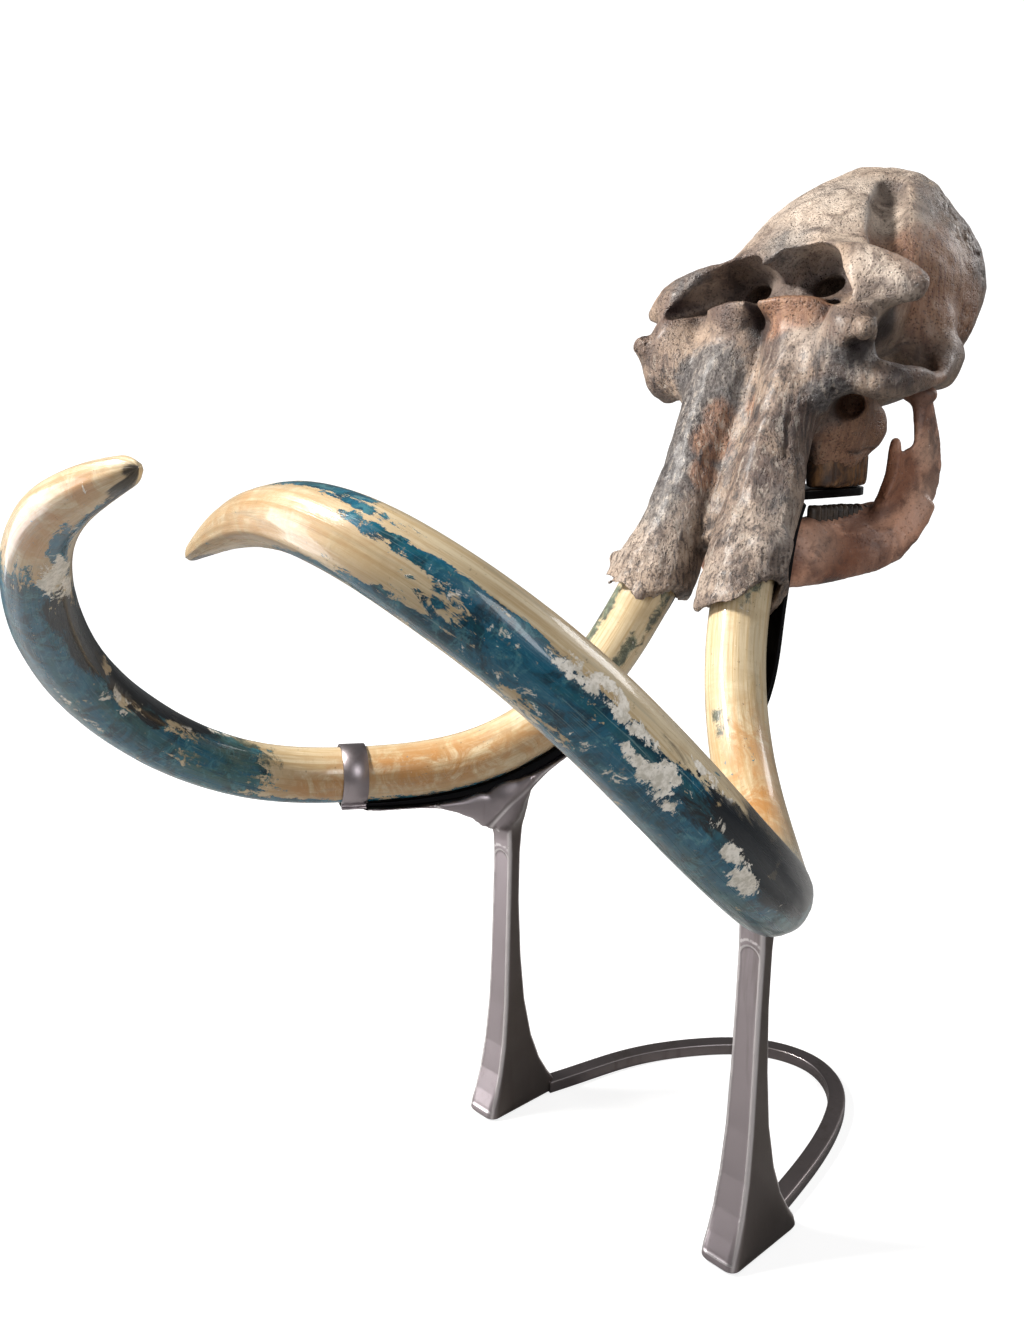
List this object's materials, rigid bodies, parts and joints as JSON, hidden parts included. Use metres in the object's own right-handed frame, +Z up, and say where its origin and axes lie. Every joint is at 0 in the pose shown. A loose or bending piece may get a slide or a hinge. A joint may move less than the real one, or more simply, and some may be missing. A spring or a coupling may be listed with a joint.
{
  "type": "fossil mammoth skull",
  "caption": "Fossil mammoth skull with lower jaw and long curling tusks, carried by the tusks on a cast metal display stand with a curved floor bow.",
  "frame": {"origin": "on the floor, under the centre of the whole assembly's box", "axes": "+Z up; -Y is the way the skull faces; +X is the animal's own left"},
  "size_m": [1.4674, 2.2188, 2.2515],
  "materials": {
    "bone": "matt, mottled grey and brown fossil bone",
    "jaw_bone": "lightly polished red-brown fossil bone",
    "enamel": "matt brown ridged tooth",
    "ivory": "polished cream ivory with blue and tan stains",
    "bronze": "satin grey-brown bronze colour",
    "dark_steel": "black, half gloss"
  },
  "bodies": {
    "root": {"bar_left": "dark_steel", "bar_right": "dark_steel", "clamp": "bronze", "cranium": "bone", "floor_bow": "bronze", "jaw_strut": "dark_steel", "leg_left": "bronze", "leg_right": "bronze", "lower_molar_left": "enamel", "lower_molar_right": "enamel", "mandible": "jaw_bone", "palate_plate": "dark_steel", "tusk_left": "ivory", "tusk_right": "ivory", "upper_molar_left": "enamel", "upper_molar_right": "enamel"}
  },
  "joints": []
}
